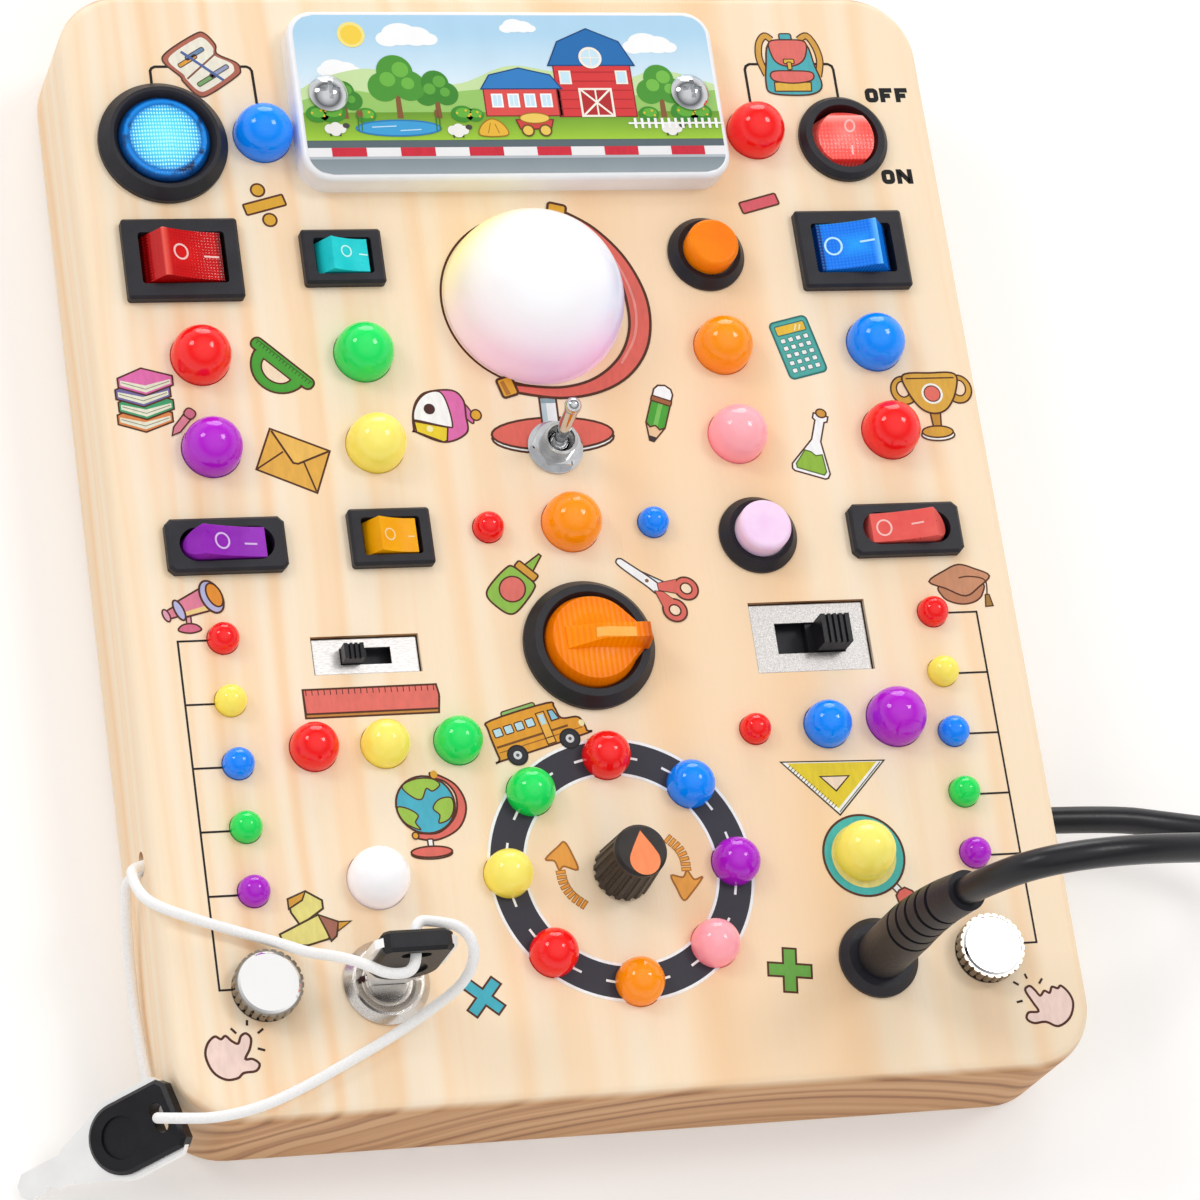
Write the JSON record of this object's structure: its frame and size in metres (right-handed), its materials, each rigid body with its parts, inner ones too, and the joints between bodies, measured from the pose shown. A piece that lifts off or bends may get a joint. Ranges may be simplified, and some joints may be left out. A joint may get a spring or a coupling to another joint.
{
  "type": "busy board",
  "caption": "Rounded wooden block carrying rocker, push, toggle, slide and rotary controls, coloured lamps, a dome lamp, a keyed lock on a cord and a corded plug in its socket.",
  "frame": {"origin": "centre of the back, on the surface that the board lies on", "axes": "+X right and +Y towards the picture plate, as the face is read; +Z out of the face"},
  "size_m": [0.2349, 0.2081, 0.0848],
  "materials": {
    "pine": "fine-sanded, clear matt oil, vertical grain",
    "cover_board": "sanded thin ply",
    "screw_steel": "zinc plated",
    "door_plastic": "moulded, fine texture",
    "cell_jacket": "plain sleeve",
    "spring_steel": "nickel plated",
    "circuit_green": "solder mask",
    "plate_white": "printed, polished edges",
    "polished_screw": "mirror polish",
    "lamp_plastic": "tinted, slightly clear, several colours",
    "dome_plastic": "milky, polished",
    "bezel_black": "moulded, fine texture",
    "red_clear": "clear red",
    "blue_clear": "clear blue",
    "blue_lens": "clear blue, lit",
    "teal": "satin",
    "amber": "satin",
    "purple": "gloss",
    "coral": "gloss",
    "red_lens": "clear red, lit",
    "orange": "satin",
    "pink": "satin",
    "amber_clear": "clear amber",
    "dial_grey": "satin, fluted",
    "brass": "bare",
    "tap_chrome": "mirror polish, knurled edge",
    "collar_steel": "turned",
    "toggle_chrome": "plated",
    "toggle_case": "plated",
    "slide_steel": "plated sheet",
    "slider_black": "moulded",
    "lock_nickel": "satin nickel",
    "key_pad": "moulded pad over nickel sheet",
    "plug_black": "moulded",
    "cable_black": "satin jacket",
    "white_cord": "smooth braid"
  },
  "bodies": {
    "board": {"wood_body": "pine", "back_cover": "cover_board", "cover_screws": "screw_steel", "battery_door": "door_plastic", "battery_tray": "door_plastic", "batteries": "cell_jacket", "battery_contacts": "spring_steel", "circuit_board": "circuit_green", "picture_plate": "plate_white", "plate_screws": "polished_screw", "large_leds": "lamp_plastic", "medium_leds": "lamp_plastic", "small_leds": "lamp_plastic", "led_leads": "spring_steel", "dome_lens": "dome_plastic", "dome_led_board": "circuit_green", "large_rocker_housings": "bezel_black", "small_rocker_housings": "bezel_black", "oval_rocker_housings": "bezel_black", "power_switch_housing": "bezel_black", "switch_terminals": "brass", "blue_button_bezel": "bezel_black", "push_button_housings": "bezel_black", "tap_button_collars": "collar_steel", "toggle_body": "toggle_case", "toggle_nut": "toggle_chrome", "small_slide_frame": "slide_steel", "large_slide_frame": "slide_steel", "slide_switch_bases": "bezel_black", "selector_bezel": "bezel_black", "dial_control": "bezel_black", "lock_barrel": "lock_nickel", "power_socket": "bezel_black", "cable_grommet": "plug_black", "power_cable": "cable_black", "lanyard": "white_cord", "spare_key": "key_pad"},
    "red_rocker": {"red_rocker": "red_clear"},
    "blue_rocker": {"blue_rocker": "blue_clear"},
    "teal_rocker": {"teal_rocker": "teal"},
    "amber_rocker": {"amber_rocker": "amber"},
    "purple_rocker": {"purple_rocker": "purple"},
    "coral_rocker": {"coral_rocker": "coral"},
    "power_rocker": {"power_rocker": "red_lens"},
    "blue_button_lens": {"blue_button_lens": "blue_lens"},
    "orange_button": {"orange_button": "orange"},
    "pink_button": {"pink_button": "pink"},
    "left_tap_button": {"left_tap_button": "tap_chrome"},
    "right_tap_button": {"right_tap_button": "tap_chrome"},
    "toggle_lever": {"toggle_lever": "toggle_chrome"},
    "small_slide_knob": {"small_slide_knob": "slider_black"},
    "large_slide_knob": {"large_slide_knob": "slider_black"},
    "selector_knob": {"selector_knob": "amber_clear"},
    "dial_knob": {"dial_knob": "dial_grey"},
    "lock_core": {"lock_core": "lock_nickel"},
    "lock_key": {"lock_key": "key_pad"},
    "power_plug": {"power_plug": "plug_black"}
  },
  "joints": [
    {"name": "red_rocker_tilt", "type": "hinge", "parent": "board", "child": "red_rocker", "pos_m": [-0.062, 0.0497, 0.0231], "axis": [0, 1, 0], "range_deg": [-30, 0]},
    {"name": "blue_rocker_tilt", "type": "hinge", "parent": "board", "child": "blue_rocker", "pos_m": [0.0595, 0.0499, 0.0231], "axis": [0, 1, 0], "range_deg": [0, 30]},
    {"name": "teal_rocker_tilt", "type": "hinge", "parent": "board", "child": "teal_rocker", "pos_m": [-0.0339, 0.0497, 0.0235], "axis": [0, 1, 0], "range_deg": [-28, 0]},
    {"name": "amber_rocker_tilt", "type": "hinge", "parent": "board", "child": "amber_rocker", "pos_m": [-0.0321, -0.0024, 0.0235], "axis": [0, 1, 0], "range_deg": [-28, 0]},
    {"name": "purple_rocker_tilt", "type": "hinge", "parent": "board", "child": "purple_rocker", "pos_m": [-0.0605, -0.0029, 0.0237], "axis": [0, 1, 0], "range_deg": [-26, 0]},
    {"name": "coral_rocker_tilt", "type": "hinge", "parent": "board", "child": "coral_rocker", "pos_m": [0.0602, -0.0039, 0.0237], "axis": [0, 1, 0], "range_deg": [0, 26]},
    {"name": "power_rocker_tilt", "type": "hinge", "parent": "board", "child": "power_rocker", "pos_m": [0.0616, 0.0721, 0.0236], "axis": [1, 0, 0], "range_deg": [-20, 0]},
    {"name": "blue_button_press", "type": "slide", "parent": "board", "child": "blue_button_lens", "axis": [0, 0, -1], "range_m": [0, 0.0025], "stiffness_N_per_m": 400, "springref_m": -0.002},
    {"name": "orange_button_press", "type": "slide", "parent": "board", "child": "orange_button", "axis": [0, 0, -1], "range_m": [0, 0.0025], "stiffness_N_per_m": 400, "springref_m": -0.002},
    {"name": "pink_button_press", "type": "slide", "parent": "board", "child": "pink_button", "axis": [0, 0, -1], "range_m": [0, 0.0025], "stiffness_N_per_m": 400, "springref_m": -0.002},
    {"name": "left_tap_press", "type": "slide", "parent": "board", "child": "left_tap_button", "axis": [0, 0, -1], "range_m": [0, 0.0005], "stiffness_N_per_m": 800, "springref_m": -0.001},
    {"name": "right_tap_press", "type": "slide", "parent": "board", "child": "right_tap_button", "axis": [0, 0, -1], "range_m": [0, 0.0005], "stiffness_N_per_m": 800, "springref_m": -0.001},
    {"name": "toggle_tilt", "type": "hinge", "parent": "board", "child": "toggle_lever", "pos_m": [-0.0007, 0.0136, 0.0274], "axis": [1, 0, 0], "range_deg": [0, 22]},
    {"name": "small_slide", "type": "slide", "parent": "board", "child": "small_slide_knob", "axis": [1, 0, 0], "range_m": [0, 0.0051]},
    {"name": "large_slide", "type": "slide", "parent": "board", "child": "large_slide_knob", "axis": [1, 0, 0], "range_m": [-0.0068, 0]},
    {"name": "selector_turn", "type": "hinge", "parent": "board", "child": "selector_knob", "pos_m": [0, -0.0229, 0.025], "axis": [0, 0, 1], "range_deg": [0, 90]},
    {"name": "dial_turn", "type": "hinge", "parent": "board", "child": "dial_knob", "pos_m": [0, -0.0632, 0.025], "axis": [0, 0, 1], "range_deg": [-150, 150]},
    {"name": "lock_turn", "type": "hinge", "parent": "board", "child": "lock_core", "pos_m": [-0.0427, -0.0798, 0.025], "axis": [0, 0, 1], "range_deg": [-90, 0], "deforming": ["lanyard"]},
    {"name": "key_withdrawal", "type": "slide", "parent": "lock_core", "child": "lock_key", "axis": [0, 0, 1], "range_m": [0, 0.012], "deforming": ["lanyard"]},
    {"name": "plug_withdrawal", "type": "slide", "parent": "board", "child": "power_plug", "axis": [0, 0, 1], "range_m": [0, 0.012], "deforming": ["power_cable"]}
  ]
}
